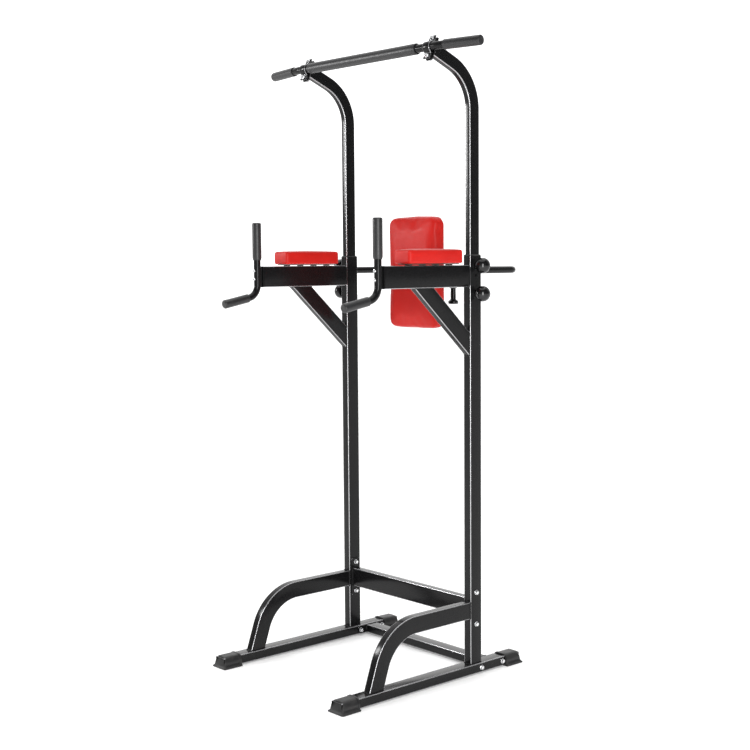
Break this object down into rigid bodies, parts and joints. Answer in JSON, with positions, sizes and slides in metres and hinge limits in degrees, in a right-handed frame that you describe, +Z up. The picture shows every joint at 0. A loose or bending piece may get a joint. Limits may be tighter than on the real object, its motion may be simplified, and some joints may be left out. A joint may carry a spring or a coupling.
{
  "type": "power tower",
  "caption": "Free-standing power tower: telescoping pull-up bar over padded arms with dip handles, a sliding backrest and a floor frame with rubber boots.",
  "frame": {"origin": "on the floor, at the middle of the footprint box", "axes": "+Z up, -Y the way the user faces, +X the user's left"},
  "size_m": [1.1012, 0.976, 2.2107],
  "materials": {
    "black_steel": "satin black powder coat with a fine speckle",
    "zinc_steel": "bright zinc plate",
    "black_rubber": "matte black",
    "grey_grip": "matte dark grey foam rubber",
    "black_plastic": "smooth black moulded plastic",
    "red_vinyl": "bright red vinyl, satin",
    "board_wood": "dark stained plywood"
  },
  "bodies": {
    "frame": {"floor_rail_left": "black_steel", "upright_left": "black_steel", "arched_stay_left": "black_steel", "arm_left": "black_steel", "arm_brace_left": "black_steel", "dip_handle_left": "black_steel", "front_boot_left": "black_rubber", "rear_boot_left": "black_rubber", "rail_bolt_front_left": "zinc_steel", "rail_bolt_rear_left": "zinc_steel", "beam_bolt_upper_left": "zinc_steel", "beam_bolt_lower_left": "zinc_steel", "handle_screws_left": "zinc_steel", "guide_bush_left": "black_plastic", "hand_grip_left": "grey_grip", "dip_grip_left": "grey_grip", "forearm_board_left": "board_wood", "forearm_pad_left": "red_vinyl", "floor_rail_right": "black_steel", "upright_right": "black_steel", "arched_stay_right": "black_steel", "arm_right": "black_steel", "arm_brace_right": "black_steel", "dip_handle_right": "black_steel", "front_boot_right": "black_rubber", "rear_boot_right": "black_rubber", "rail_bolt_front_right": "zinc_steel", "rail_bolt_rear_right": "zinc_steel", "beam_bolt_upper_right": "zinc_steel", "beam_bolt_lower_right": "zinc_steel", "handle_screws_right": "zinc_steel", "guide_bush_right": "black_plastic", "hand_grip_right": "grey_grip", "dip_grip_right": "grey_grip", "forearm_board_right": "board_wood", "forearm_pad_right": "red_vinyl", "floor_cross_tube": "black_steel", "lower_cross_beam": "black_steel", "rear_frame": "black_steel"},
    "bar_assembly": {"upper_tube_left": "black_steel", "bar_saddle_left": "black_steel", "clamp_bolt_upper_left": "zinc_steel", "clamp_bolt_lower_left": "zinc_steel", "bar_grip_left": "grey_grip", "upper_tube_right": "black_steel", "bar_saddle_right": "black_steel", "clamp_bolt_upper_right": "zinc_steel", "clamp_bolt_lower_right": "zinc_steel", "bar_grip_right": "grey_grip", "pull_up_bar": "black_steel", "bar_sleeve": "grey_grip"},
    "backrest": {"backrest_slide": "black_steel", "slide_plug": "black_plastic", "backrest_board": "board_wood", "backrest_pad": "red_vinyl"},
    "upper_knob_left": {"upper_lock_knob_left": "black_plastic"},
    "upper_knob_right": {"upper_lock_knob_right": "black_plastic"},
    "lower_knob_left": {"lower_lock_knob_left": "black_plastic"},
    "lower_knob_right": {"lower_lock_knob_right": "black_plastic"},
    "backrest_knob": {"backrest_lock_knob": "black_plastic"}
  },
  "joints": [
    {"name": "height_slide", "type": "slide", "parent": "frame", "child": "bar_assembly", "axis": [0, 0, 1], "range_m": [0, 0.15]},
    {"name": "backrest_depth", "type": "slide", "parent": "frame", "child": "backrest", "axis": [0, 1, 0], "range_m": [-0.07, 0.03]},
    {"name": "upper_knob_turn_left", "type": "hinge", "parent": "frame", "child": "upper_knob_left", "pos_m": [0.36, 0.152, 1.446], "axis": [1, 0, 0], "range_deg": [0, 360]},
    {"name": "upper_knob_turn_right", "type": "hinge", "parent": "frame", "child": "upper_knob_right", "pos_m": [-0.36, 0.152, 1.446], "axis": [-1, 0, 0], "range_deg": [0, 360]},
    {"name": "lower_knob_turn_left", "type": "hinge", "parent": "frame", "child": "lower_knob_left", "pos_m": [0.36, 0.152, 1.349], "axis": [1, 0, 0], "range_deg": [0, 360]},
    {"name": "lower_knob_turn_right", "type": "hinge", "parent": "frame", "child": "lower_knob_right", "pos_m": [-0.36, 0.152, 1.349], "axis": [-1, 0, 0], "range_deg": [0, 360]},
    {"name": "backrest_knob_turn", "type": "hinge", "parent": "frame", "child": "backrest_knob", "pos_m": [0, 0.386, 1.33], "axis": [0, 0, -1], "range_deg": [0, 360]}
  ]
}
